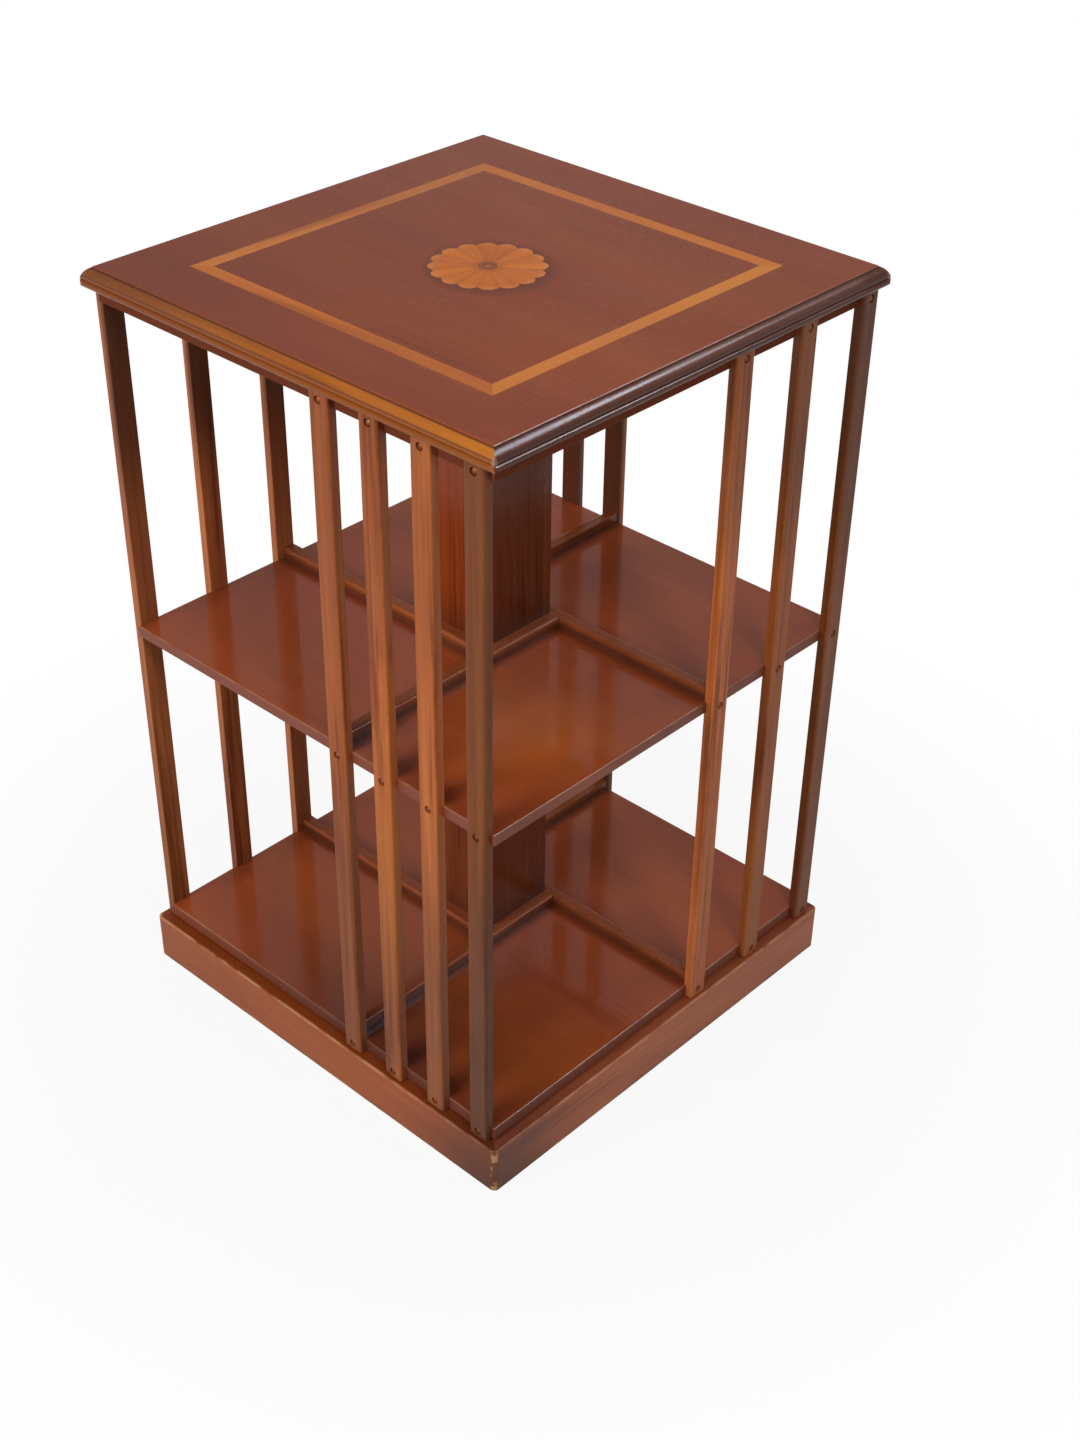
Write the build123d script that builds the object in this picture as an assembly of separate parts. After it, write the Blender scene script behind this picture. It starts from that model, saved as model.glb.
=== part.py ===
from build123d import *
import os

os.makedirs("parts", exist_ok=True)

# Revolving bookcase. Millimetres, +Z up, origin at the middle of the plinth's underside.
# Front is -Y, right is +X, back is +Y, left is -X. Each face is the last one turned a quarter.

# Overall heights, from the floor up
PLINTH_HEIGHT = 52.0
TURNING_GAP = 1.5
BOTTOM_SHELF_THICKNESS = 13.5
LOWER_STOREY_CLEAR = 334.5
MIDDLE_SHELF_THICKNESS = 11.5
UPPER_STOREY_CLEAR = 330.0
UNDER_TOP_THICKNESS = 14.0
TOP_THICKNESS = 18.0

# Plinth and what it holds
PLINTH_OVERHANG = 4.3
PLINTH_BOARD_THICKNESS = 22.0
PLINTH_TOP_ROUND = 2.0
PLINTH_CORNER_ROUND = 6.0
BATTEN_WIDTH = 16.0
BATTEN_FLOOR_CLEARANCE = 2.0
BASE_BOARD_DROP = 15.0
BASE_BOARD_THICKNESS = 15.0

# Centre spindle and its bearings
SPINDLE_DIAMETER = 18.0
SPINDLE_FOOT_DIAMETER = 16.0
SPINDLE_SHOULDER_DIAMETER = 26.0
SPINDLE_SHOULDER_HEIGHT = 3.0
SPINDLE_FOOT_BELOW_BOARD = 10.0
SPINDLE_ABOVE_SHELF = 30.0
SPINDLE_CHAMFER = 1.0
RUNNING_CLEARANCE = 0.05
FLANGE_DIAMETER = 96.0
FLANGE_THICKNESS = 5.0
FLANGE_HUB_DIAMETER = 36.0
FLANGE_HUB_HEIGHT = 7.0
FLANGE_SCREW_INSET = 14.0
FLANGE_CHAMFER = 1.0
NUT_ACROSS_FLATS = 24.0
NUT_HEIGHT = 8.0
COLLAR_WALL = 4.0
COLLAR_FLANGE_WIDTH = 11.0
COLLAR_FLANGE_THICKNESS = 2.5
COLLAR_CHAMFER = 0.8
CUP_WALL = 4.0
CUP_FLANGE_WIDTH = 8.0
CUP_FLANGE_THICKNESS = 3.0
CUP_END_THICKNESS = 12.0
PIVOT_BLOCK_HEIGHT = 50.0
PIVOT_SCREW_INSET = 6.0
SHELF_HOLE_CLEARANCE = 2.0

# Shelves, column and book rails
SHELF_SIDE = 477.0
SHELF_ARRIS = 1.0
COLUMN_SIDE = 84.0
COLUMN_BOARD_THICKNESS = 10.0
COLUMN_ARRIS = 1.0
RAIL_WIDTH = 12.0
RAIL_HEIGHT = 12.0
RAIL_ROUND = 3.0

# Slats
SLAT_WIDTH = 22.0
SLAT_THICKNESS = 10.0
SLAT_OUTER_ROUND = 2.5
SLAT_INNER_ROUND = 0.8
SLAT_HOUSING_DEPTH = 2.5
FIRST_SLAT_FROM_COLUMN = 10.0
FRONT_SLAT_INSET = 14.5
SIDE_SLAT_INSET = 12.5
FRONT_SLATS = 4
SIDE_SLATS = 3

# Top board, its moulding and its inlay
TOP_FIELD_SETBACK = 5.5
MOULDING_WIDTH = 9.8
TOP_FIELD_ARRIS = 0.6
MOULDING_QUIRK = 0.8
MOULDING_OVOLO_BULGE = 1.5
MOULDING_STEP_HEIGHT = 10.4
MOULDING_STEP_SETBACK = 1.7
MOULDING_NOSE_SETBACK = 2.9
MOULDING_NOSE_DROP = 0.6
MOULDING_NOSE_FOOT = 0.4
MOULDING_CORNER_ROUND = 6.0
INLAY_MARGIN = 59.0
INLAY_WIDTH = 15.0
INLAY_DEPTH = 1.2
ROSETTE_RADIUS = 52.5
ROSETTE_SHOULDER_RADIUS = 47.0
ROSETTE_CENTRE_RADIUS = 8.5
ROSETTE_PETALS = 16

# Fixings
PIN_SHANK = 3.0
PIN_HEAD = 7.0
PIN_HEAD_HEIGHT = 1.6
PIN_RECESS = 7.6
PIN_RECESS_DEPTH = 1.6
PIN_IN_BOARD = 14.0
PIN_SLAT_CLEARANCE = 0.1
SMALL_SCREW_SHANK = 3.0
SMALL_SCREW_HEAD = 6.0
LARGE_SCREW_SHANK = 4.0
LARGE_SCREW_HEAD = 8.0
SCREW_SLOT_WIDTH = 0.9
SCREW_SLOT_DEPTH = 0.8
TOP_SCREW_COVER = 7.0
TOP_SCREW_INSET = 42.0
TOP_SCREW_SPREAD = 70.0
BATTEN_SCREW_SPREAD = 140.0
BATTEN_SCREW_COVER = 6.0
FLANGE_SCREW_COVER = 3.0
COLLAR_SCREW_COVER = 2.5
CUP_SCREW_BITE = 14.0
THREE_SCREW_START = 30.0
PIVOT_SCREW_BITE = 22.0

# Levels and half sizes that follow from the values above
bottom_shelf_z = PLINTH_HEIGHT + TURNING_GAP
bottom_shelf_top = bottom_shelf_z + BOTTOM_SHELF_THICKNESS
middle_shelf_z = bottom_shelf_top + LOWER_STOREY_CLEAR
middle_shelf_top = middle_shelf_z + MIDDLE_SHELF_THICKNESS
under_top_z = middle_shelf_top + UPPER_STOREY_CLEAR
under_top_top = under_top_z + UNDER_TOP_THICKNESS
top_surface = under_top_top + TOP_THICKNESS
shelf_half = SHELF_SIDE / 2
slat_back = shelf_half - SLAT_HOUSING_DEPTH
slat_plane = slat_back + SLAT_THICKNESS
column_half = COLUMN_SIDE / 2
column_inner = column_half - COLUMN_BOARD_THICKNESS
plinth_half = slat_plane + PLINTH_OVERHANG
plinth_inner = plinth_half - PLINTH_BOARD_THICKNESS
base_board_top = PLINTH_HEIGHT - BASE_BOARD_DROP
base_board_z = base_board_top - BASE_BOARD_THICKNESS
flange_top = base_board_top + FLANGE_THICKNESS
hub_top = flange_top + FLANGE_HUB_HEIGHT
spindle_top = middle_shelf_top + SPINDLE_ABOVE_SHELF
spindle_radius = SPINDLE_DIAMETER / 2
running_radius = spindle_radius + RUNNING_CLEARANCE
collar_radius = spindle_radius + COLLAR_WALL
collar_flange_radius = collar_radius + COLLAR_FLANGE_WIDTH
cup_radius = spindle_radius + CUP_WALL
cup_flange_radius = cup_radius + CUP_FLANGE_WIDTH
field_half = slat_plane - TOP_FIELD_SETBACK
top_half = field_half + MOULDING_WIDTH
inlay_half = field_half - INLAY_MARGIN
top_screw_line = shelf_half - TOP_SCREW_INSET
pin_levels = (
    bottom_shelf_z + BOTTOM_SHELF_THICKNESS / 2,
    middle_shelf_z + MIDDLE_SHELF_THICKNESS / 2,
    under_top_z + UNDER_TOP_THICKNESS / 2,
)
SIDES = ("front", "right", "back", "left")


def block(x0, x1, y0, y1, z0, z1):
    """A plain rectangular piece between two corners."""
    return Pos((x0 + x1) / 2, (y0 + y1) / 2, (z0 + z1) / 2) * Box(x1 - x0, y1 - y0, z1 - z0)


def rod(radius, z0, z1, x=0.0, y=0.0):
    """An upright cylinder between two levels."""
    return Pos(x, y, (z0 + z1) / 2) * Cylinder(radius, z1 - z0)


def quarter(shape, turns):
    """The same piece on a later face, turned by quarters about the upright axis."""
    return Rot(0, 0, 90 * turns) * shape


def wedge(half, z0, z1):
    """The front quarter of a square, cut on both mitres, to make mitred pieces."""
    outline = Polyline((0, 0), (half, -half), (-half, -half), (0, 0))
    return Pos(0, 0, z0) * extrude(make_face(outline), z1 - z0)


def save(name, shape):
    export_step(shape, f"parts/{name}.step")


def screw_hole(head, shank, length):
    """The hole that a countersunk screw fills, point up, with its head flush at z = 0."""
    sink = (head - shank) / 2
    cone_z = length - shank
    outline = Polyline(
        (0, 0), (head / 2, 0), (shank / 2, sink), (shank / 2, cone_z), (0, length), (0, 0)
    )
    return revolve(make_face(Plane.XZ * outline), Axis.Z)


def flat_screw(head, shank, length):
    """The slotted countersunk screw that fills such a hole."""
    return screw_hole(head, shank, length) - Box(head + 1, SCREW_SLOT_WIDTH, 2 * SCREW_SLOT_DEPTH)


def square_spots(x, y):
    """Four points, one in each quarter."""
    return [(sx * x, sy * y) for sx in (-1, 1) for sy in (-1, 1)]


def upright(spots, level):
    """Places for pieces that point up from one level."""
    return [Pos(x, y, level) for x, y in spots]


def hanging(spots, level):
    """Places for pieces that point down from one level."""
    return [Pos(x, y, level) * Rot(180, 0, 0) for x, y in spots]


def round_spots(radius, count, start):
    """Points spaced evenly on a circle."""
    spots = [Vector(radius, 0).rotate(Axis.Z, start + 360 * i / count) for i in range(count)]
    return [(spot.X, spot.Y) for spot in spots]


# Slat pins: a domed head in a small recess, a shank through the slat into the board's edge.
# The pin is drawn for the front face, at x = 0, z = 0.
pin_seat = -slat_plane + PIN_RECESS_DEPTH
pin_end = -slat_back + PIN_IN_BOARD
dome = (PIN_HEAD**2 / 4 + PIN_HEAD_HEIGHT**2) / (2 * PIN_HEAD_HEIGHT)
pin = Pos(0, 0, dome) * Sphere(dome) & rod(PIN_HEAD, 0, PIN_HEAD_HEIGHT)
pin += rod(PIN_SHANK / 2, PIN_HEAD_HEIGHT, PIN_HEAD_HEIGHT + pin_end - pin_seat)
pin = Pos(0, pin_seat - PIN_HEAD_HEIGHT, 0) * Rot(-90, 0, 0) * pin
pin_bore = Pos(0, (-slat_back + pin_end) / 2, 0) * Rot(90, 0, 0) * Cylinder(PIN_SHANK / 2, PIN_IN_BOARD)


def slat_centres(count, inset):
    """How far each slat of one face stands from the face's middle line."""
    first = column_half + FIRST_SLAT_FROM_COLUMN
    last = shelf_half - inset
    return [first + (last - first) * i / (count - 1) for i in range(count)]


front_slats = slat_centres(FRONT_SLATS, FRONT_SLAT_INSET)
side_slats = slat_centres(SIDE_SLATS, SIDE_SLAT_INSET)
face_slats = (front_slats, side_slats, front_slats, side_slats)


def at_every_slat(shape):
    """Copies of a shape drawn for x = 0 on the front face, one at each slat of the four faces."""
    return [quarter(Pos(x, 0, 0) * shape, turns) for turns, spots in enumerate(face_slats) for x in spots]


def slat_fixings(level):
    """What the slats take out of one board: their housings in its edges and the pilot holes of the pins."""
    return at_every_slat(slat_room) + at_every_slat(Pos(0, 0, level) * pin_bore)


slat_room = block(-SLAT_WIDTH / 2, SLAT_WIDTH / 2, -slat_plane, -slat_back, bottom_shelf_z, under_top_top)


# Plinth: four mitred boards round a hollow, with a level ledge on top.
ring = block(-plinth_half, plinth_half, -plinth_half, plinth_half, 0, PLINTH_HEIGHT)
ring = fillet(ring.edges().filter_by(Axis.Z), PLINTH_CORNER_ROUND)
ring = fillet(ring.faces().sort_by(Axis.Z)[-1].edges(), PLINTH_TOP_ROUND)
ring -= block(-plinth_inner, plinth_inner, -plinth_inner, plinth_inner, 0, PLINTH_HEIGHT)
for turns, side in enumerate(SIDES):
    save(f"plinth_{side}", ring & quarter(wedge(plinth_half + 1, 0, PLINTH_HEIGHT), turns))

# Battens glued inside the plinth, and the board that they carry.
batten_foot = BATTEN_FLOOR_CLEARANCE
batten_inner = plinth_inner - BATTEN_WIDTH
long_batten = block(-plinth_inner, plinth_inner, -plinth_inner, -batten_inner, batten_foot, base_board_z)
short_batten = block(batten_inner, plinth_inner, -batten_inner, batten_inner, batten_foot, base_board_z)
batten_line = plinth_inner - BATTEN_WIDTH / 2
batten_spots = square_spots(BATTEN_SCREW_SPREAD, batten_line) + square_spots(batten_line, BATTEN_SCREW_SPREAD)
batten_screw_length = base_board_top - BATTEN_FLOOR_CLEARANCE - BATTEN_SCREW_COVER
batten_screw = flat_screw(LARGE_SCREW_HEAD, LARGE_SCREW_SHANK, batten_screw_length)
batten_hole = screw_hole(LARGE_SCREW_HEAD, LARGE_SCREW_SHANK, batten_screw_length)
batten_places = hanging(batten_spots, base_board_top)
batten_holes = [place * batten_hole for place in batten_places]
battens = [long_batten, quarter(long_batten, 2), short_batten, quarter(short_batten, 2)]
save("plinth_battens", Compound([batten - batten_holes for batten in battens]))
save("base_board_screws", Compound([place * batten_screw for place in batten_places]))

# Spindle flange on the base board, with its screws.
flange_length = FLANGE_THICKNESS + BASE_BOARD_THICKNESS - FLANGE_SCREW_COVER
flange_places = hanging(round_spots(FLANGE_DIAMETER / 2 - FLANGE_SCREW_INSET, 4, 45), flange_top)
flange_hole = screw_hole(LARGE_SCREW_HEAD, LARGE_SCREW_SHANK, flange_length)
flange_holes = [place * flange_hole for place in flange_places]
flange = rod(FLANGE_DIAMETER / 2, base_board_top, flange_top)
flange = chamfer(flange.edges().group_by(Axis.Z)[-1], FLANGE_CHAMFER)
flange += rod(FLANGE_HUB_DIAMETER / 2, flange_top, hub_top)
flange -= rod(SPINDLE_FOOT_DIAMETER / 2, base_board_top, hub_top)
save("spindle_flange", flange - flange_holes)
flange_screw = flat_screw(LARGE_SCREW_HEAD, LARGE_SCREW_SHANK, flange_length)
save("flange_screws", Compound([place * flange_screw for place in flange_places]))

base_board = block(-plinth_inner, plinth_inner, -plinth_inner, plinth_inner, base_board_z, base_board_top)
base_board -= rod(SPINDLE_FOOT_DIAMETER / 2, base_board_z, base_board_top)
base_board -= batten_holes
save("base_board", base_board - flange_holes)

# Spindle: threaded foot, shoulder on the hub, and the running length up inside the column.
spindle_foot = base_board_z - SPINDLE_FOOT_BELOW_BOARD
spindle = rod(spindle_radius, hub_top, spindle_top)
spindle += rod(SPINDLE_SHOULDER_DIAMETER / 2, hub_top, hub_top + SPINDLE_SHOULDER_HEIGHT)
spindle += rod(SPINDLE_FOOT_DIAMETER / 2, spindle_foot, hub_top)
spindle = chamfer(spindle.edges().group_by(Axis.Z)[-1], SPINDLE_CHAMFER)
save("spindle", chamfer(spindle.edges().group_by(Axis.Z)[0], SPINDLE_CHAMFER))
nut_blank = extrude(RegularPolygon(NUT_ACROSS_FLATS / 2, 6, major_radius=False), NUT_HEIGHT)
nut = Pos(0, 0, base_board_z - NUT_HEIGHT) * nut_blank
save("spindle_nut", nut - rod(SPINDLE_FOOT_DIAMETER / 2, base_board_z - NUT_HEIGHT, base_board_z))

# Collar: the brass bush that steadies the bottom shelf on the spindle.
collar_top = bottom_shelf_top + COLLAR_FLANGE_THICKNESS
collar_length = COLLAR_FLANGE_THICKNESS + BOTTOM_SHELF_THICKNESS - COLLAR_SCREW_COVER
collar_screw_radius = collar_radius + COLLAR_FLANGE_WIDTH / 2
collar_places = hanging(round_spots(collar_screw_radius, 3, THREE_SCREW_START), collar_top)
collar_hole = screw_hole(SMALL_SCREW_HEAD, SMALL_SCREW_SHANK, collar_length)
collar_holes = [place * collar_hole for place in collar_places]
collar = rod(collar_flange_radius, bottom_shelf_top, collar_top)
collar = chamfer(collar.edges().group_by(Axis.Z)[-1], COLLAR_CHAMFER)
collar += rod(collar_radius, bottom_shelf_z, bottom_shelf_top)
collar -= rod(running_radius, bottom_shelf_z, collar_top)
save("collar", collar - collar_holes)
collar_screw = flat_screw(SMALL_SCREW_HEAD, SMALL_SCREW_SHANK, collar_length)
save("collar_screws", Compound([place * collar_screw for place in collar_places]))


def board(side, z0, z1):
    """A square board with its outer arrises just eased."""
    blank = block(-side / 2, side / 2, -side / 2, side / 2, z0, z1)
    edges = blank.edges().filter_by(Axis.Z, reverse=True)
    return fillet(edges, SHELF_ARRIS)


bottom_shelf = board(SHELF_SIDE, bottom_shelf_z, bottom_shelf_top)
bottom_shelf -= rod(collar_radius, bottom_shelf_z, bottom_shelf_top)
bottom_shelf -= collar_holes
save("bottom_shelf", bottom_shelf - slat_fixings(pin_levels[0]))

# Pivot block: fills the foot of the upper column and holds the cup that rides on the spindle's end.
cup_top = spindle_top + CUP_END_THICKNESS
cup_flange_top = middle_shelf_top + CUP_FLANGE_THICKNESS
cup_length = CUP_FLANGE_THICKNESS + CUP_SCREW_BITE
cup_screw_radius = cup_radius + CUP_FLANGE_WIDTH / 2
cup_places = upright(round_spots(cup_screw_radius, 3, THREE_SCREW_START), middle_shelf_top)
cup_hole = screw_hole(SMALL_SCREW_HEAD, SMALL_SCREW_SHANK, cup_length)
cup_holes = [place * cup_hole for place in cup_places]
pivot_length = MIDDLE_SHELF_THICKNESS + PIVOT_SCREW_BITE
pivot_screw_line = column_inner - PIVOT_SCREW_INSET
pivot_places = upright(square_spots(pivot_screw_line, pivot_screw_line), middle_shelf_z)
pivot_hole = screw_hole(LARGE_SCREW_HEAD, LARGE_SCREW_SHANK, pivot_length)
pivot_holes = [place * pivot_hole for place in pivot_places]
cup = rod(cup_flange_radius, middle_shelf_top, cup_flange_top)
cup += rod(cup_radius, cup_flange_top, cup_top)
cup -= rod(running_radius, middle_shelf_top, spindle_top)
save("pivot_cup", cup - cup_holes)
block_top = middle_shelf_top + PIVOT_BLOCK_HEIGHT
pivot_block = block(-column_inner, column_inner, -column_inner, column_inner, middle_shelf_top, block_top)
pivot_block -= rod(cup_flange_radius, middle_shelf_top, cup_flange_top)
pivot_block -= rod(cup_radius, cup_flange_top, cup_top)
pivot_block -= cup_holes
save("pivot_block", pivot_block - pivot_holes)
cup_screw = flat_screw(SMALL_SCREW_HEAD, SMALL_SCREW_SHANK, cup_length)
pivot_screw = flat_screw(LARGE_SCREW_HEAD, LARGE_SCREW_SHANK, pivot_length)
pivot_screws = [place * cup_screw for place in cup_places] + [place * pivot_screw for place in pivot_places]
save("pivot_screws", Compound(pivot_screws))

middle_shelf = board(SHELF_SIDE, middle_shelf_z, middle_shelf_top)
middle_shelf -= rod(cup_flange_radius + SHELF_HOLE_CLEARANCE, middle_shelf_z, middle_shelf_top)
middle_shelf -= pivot_holes
save("middle_shelf", middle_shelf - slat_fixings(pin_levels[1]))


def column_board(z0, z1):
    """The right-hand board of the hollow column, lapping the front corner."""
    blank = block(column_inner, column_half, -column_half, column_inner, z0, z1)
    corner = blank.edges().filter_by(Axis.Z).sort_by(Axis.X)[-2:].sort_by(Axis.Y)[0]
    return fillet(corner, COLUMN_ARRIS)


def rail(z0):
    """The right-hand book rail on one shelf, from the front slats' backs past the column."""
    blank = block(column_half, column_half + RAIL_WIDTH, -slat_back, column_half, z0, z0 + RAIL_HEIGHT)
    arris = blank.edges().filter_by(Axis.Y).group_by(Axis.Z)[-1].sort_by(Axis.X)[-1]
    return fillet(arris, RAIL_ROUND)


lower_board = column_board(bottom_shelf_top, middle_shelf_z)
upper_board = column_board(middle_shelf_top, under_top_z)
lower_rail = rail(bottom_shelf_top)
middle_rail = rail(middle_shelf_top)
for turns, side in enumerate(SIDES):
    save(f"lower_column_{side}", quarter(lower_board, turns - 1))
    save(f"upper_column_{side}", quarter(upper_board, turns - 1))
    save(f"lower_rail_{side}", quarter(lower_rail, turns - 1))
    save(f"middle_rail_{side}", quarter(middle_rail, turns - 1))

# Under-top: the third carcass board, which carries the slats' heads and is screwed to the top.
top_length = UNDER_TOP_THICKNESS + TOP_THICKNESS - TOP_SCREW_COVER
top_spots = square_spots(top_screw_line, TOP_SCREW_SPREAD) + square_spots(TOP_SCREW_SPREAD, top_screw_line)
top_places = upright(top_spots, under_top_z)
top_hole = screw_hole(LARGE_SCREW_HEAD, LARGE_SCREW_SHANK, top_length)
top_holes = [place * top_hole for place in top_places]
under_top = board(SHELF_SIDE, under_top_z, under_top_top)
under_top -= top_holes
save("under_top", under_top - slat_fixings(pin_levels[2]))
top_screw = flat_screw(LARGE_SCREW_HEAD, LARGE_SCREW_SHANK, top_length)
save("top_screws", Compound([place * top_screw for place in top_places]))

# Slats, numbered from the middle of each face outwards, let into the boards, with three pins each.
slat_blank = fillet(slat_room.edges().filter_by(Axis.Z).group_by(Axis.Y)[0], SLAT_OUTER_ROUND)
slat_blank = fillet(slat_blank.edges().filter_by(Axis.Z).group_by(Axis.Y)[-1], SLAT_INNER_ROUND)
recess = Rot(90, 0, 0) * Cylinder(PIN_RECESS / 2, 2 * PIN_RECESS_DEPTH)
through = Rot(90, 0, 0) * Cylinder(PIN_SHANK / 2 + PIN_SLAT_CLEARANCE, 2 * SLAT_THICKNESS)
for level in pin_levels:
    slat_blank -= Pos(0, -slat_plane, level) * recess
    slat_blank -= Pos(0, -slat_plane + SLAT_THICKNESS / 2, level) * through
for turns, side in enumerate(SIDES):
    for number, x in enumerate(face_slats[turns], 1):
        save(f"slat_{side}_{number}", quarter(Pos(x, 0, 0) * slat_blank, turns))
pins = [piece for level in pin_levels for piece in at_every_slat(Pos(0, 0, level) * pin)]
save("slat_pins", Compound(pins))

# Inlay: a mitred satinwood band and a fan rosette, let into the top flush with its face.
inlay_z = top_surface - INLAY_DEPTH
band = block(-inlay_half, inlay_half, -inlay_half, inlay_half, inlay_z, top_surface)
band_inner = inlay_half - INLAY_WIDTH
band -= block(-band_inner, band_inner, -band_inner, band_inner, inlay_z, top_surface)
mitre = wedge(inlay_half + 1, inlay_z, top_surface)
save("inlay_band", Compound([band & quarter(mitre, turns) for turns in range(4)]))

half_angle = 180 / ROSETTE_PETALS
shoulder = Vector(ROSETTE_SHOULDER_RADIUS, 0).rotate(Axis.Z, half_angle)
root = Vector(ROSETTE_CENTRE_RADIUS, 0).rotate(Axis.Z, half_angle)
petal_outline = Wire(
    [
        Line((root.X, -root.Y), (shoulder.X, -shoulder.Y)),
        ThreePointArc((shoulder.X, -shoulder.Y), (ROSETTE_RADIUS, 0), (shoulder.X, shoulder.Y)),
        Line((shoulder.X, shoulder.Y), (root.X, root.Y)),
        ThreePointArc((root.X, root.Y), (ROSETTE_CENTRE_RADIUS, 0), (root.X, -root.Y)),
    ]
)
petal = Pos(0, 0, inlay_z) * extrude(make_face(petal_outline), INLAY_DEPTH)
petals = [Rot(0, 0, 2 * half_angle * i) * petal for i in range(ROSETTE_PETALS)]
rosette_centre = rod(ROSETTE_CENTRE_RADIUS, inlay_z, top_surface)
save("rosette_petals", Compound(petals))
save("rosette_centre", rosette_centre)

# Top: a flat field with four mitred edge mouldings glued round it.
field = block(-field_half, field_half, -field_half, field_half, under_top_top, top_surface)
field = chamfer(field.faces().sort_by(Axis.Z)[-1].edges(), TOP_FIELD_ARRIS)
field -= top_holes
field -= band
field -= petals
save("top_panel", field - rosette_centre)

step_x = top_half - MOULDING_STEP_SETBACK
nose_x = top_half - MOULDING_NOSE_SETBACK
step_z = top_surface - MOULDING_STEP_HEIGHT
nose_top = step_z - MOULDING_NOSE_DROP
nose_foot = under_top_top + MOULDING_NOSE_FOOT
ovolo_z = top_surface - MOULDING_QUIRK
ovolo = SagittaArc((step_x, step_z), (field_half, ovolo_z), -MOULDING_OVOLO_BULGE)
moulding_outline = Wire(
    [
        Line((field_half, under_top_top), (nose_x, under_top_top)),
        Line((nose_x, under_top_top), (nose_x, nose_foot)),
        ThreePointArc((nose_x, nose_foot), (top_half, (nose_foot + nose_top) / 2), (nose_x, nose_top)),
        Line((nose_x, nose_top), (nose_x, step_z)),
        Line((nose_x, step_z), (step_x, step_z)),
        ovolo,
        Line((field_half, ovolo_z), (field_half, under_top_top)),
    ]
)
section = make_face(Plane.XZ * moulding_outline)
moulding = extrude(section, top_half, both=True) & quarter(wedge(top_half + 1, under_top_top, top_surface), 1)
rounded = block(-top_half, top_half, -top_half, top_half, under_top_top, top_surface)
moulding &= fillet(rounded.edges().filter_by(Axis.Z), MOULDING_CORNER_ROUND)
for turns, side in enumerate(SIDES):
    save(f"top_moulding_{side}", quarter(moulding, turns - 1))
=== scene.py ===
import math

import bpy
from mathutils import Matrix, Vector


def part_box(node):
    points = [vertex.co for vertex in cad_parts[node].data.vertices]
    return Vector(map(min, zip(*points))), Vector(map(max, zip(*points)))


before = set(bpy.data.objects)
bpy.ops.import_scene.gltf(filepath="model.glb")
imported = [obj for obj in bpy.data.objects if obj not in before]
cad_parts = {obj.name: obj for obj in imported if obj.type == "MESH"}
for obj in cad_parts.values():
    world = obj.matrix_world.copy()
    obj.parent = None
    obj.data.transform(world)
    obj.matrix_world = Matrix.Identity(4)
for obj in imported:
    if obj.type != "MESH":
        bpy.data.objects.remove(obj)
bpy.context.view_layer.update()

# Plinth: four mahogany boards, mitred at the corners and glued round a hollow, with a level ledge on top.
# Lacquer fills most of the grain. Handling has rubbed the eased arrises paler, and knocks have bared the
# wood at the corners. The boards' colours carry painted light and shade, the ledge is painted in shade
# under the carcass, and the foot is darker towards the floor and round the front corner.
SIDES = ("front", "right", "back", "left")
RUN_OF_SIDE = {"front": "x", "right": "y", "back": "x", "left": "y"}
# Painted light and shade: the front board is painted darker and the right-hand one lighter than the rest.
PLINTH_LIGHT_AND_SHADE = {"front": (0.225, 0.047, 0.009), "right": (0.365, 0.095, 0.034)}
PLINTH_BROWN = (0.250, 0.058, 0.014)
GLUE_AND_SHADE_BROWN = (0.030, 0.010, 0.006, 1.0)
BARE_WOOD = (0.46, 0.25, 0.13, 1.0)
PLINTH_GLUE_LINE = 0.0005
LEDGE_HEIGHT, LEDGE_EASING = 0.0505, 0.001
DARK_FRONT_CORNER, DARK_CORNER_REACH = (0.25, -0.25, 0.0), 0.15
PLINTH_CORNER, CORNER_FADE = 0.247, 0.003
CHIP_WAVES, FOOT_WAVES = 90.0, 30.0
FOOT_RAGGED, FOOT_DARKEST = 0.009, 0.0027
SEED_STEPS = (3.71, 1.93, 2.57)


def add_node(tree, kind, sockets=(), **settings):
    """One shader node; each socket takes a number, a colour or what another node gives."""
    made = tree.nodes.new(kind)
    for key, value in settings.items():
        setattr(made, key, value)
    for key, value in dict(sockets).items():
        if isinstance(value, bpy.types.NodeSocket):
            tree.links.new(value, made.inputs[key])
        else:
            made.inputs[key].default_value = value
    return made


def place_on_piece(tree):
    """Where a point of the wood lies, in metres, so that the figure turns with the piece."""
    return add_node(tree, "ShaderNodeTexCoord").outputs["Object"]


def reckon(tree, operation, first, second=0.0):
    """One sum on two values."""
    return add_node(tree, "ShaderNodeMath", {0: first, 1: second}, operation=operation).outputs[0]


def reckon_places(tree, operation, first, second=(0.0, 0.0, 0.0)):
    """One sum on two places, which gives a place or a length."""
    return add_node(tree, "ShaderNodeVectorMath", {0: first, 1: second}, operation=operation).outputs


def axes_of(tree, place):
    """A place's measures along the three axes."""
    return add_node(tree, "ShaderNodeSeparateXYZ", {0: place}).outputs


def fade(tree, value, start, end, low=0.0, high=1.0):
    """Goes smoothly from low to high while a value goes from start to end."""
    sockets = {"Value": value, "From Min": start, "From Max": end, "To Min": low, "To Max": high}
    return add_node(tree, "ShaderNodeMapRange", sockets, interpolation_type="SMOOTHSTEP").outputs[0]


def lay_over(tree, under, over, amount, how="MIX"):
    """Lays one colour over another."""
    sockets = {0: amount, 6: under, 7: over}
    return add_node(tree, "ShaderNodeMix", sockets, data_type="RGBA", blend_type=how).outputs[2]


def away_from(tree, spot):
    """How far a point lies from a spot."""
    return reckon_places(tree, "DISTANCE", place_on_piece(tree), spot)["Value"]


def sides_of(tree):
    """How far a point lies from the middle of the foot along each axis, either way."""
    return axes_of(tree, reckon_places(tree, "ABSOLUTE", place_on_piece(tree))[0])


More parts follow.
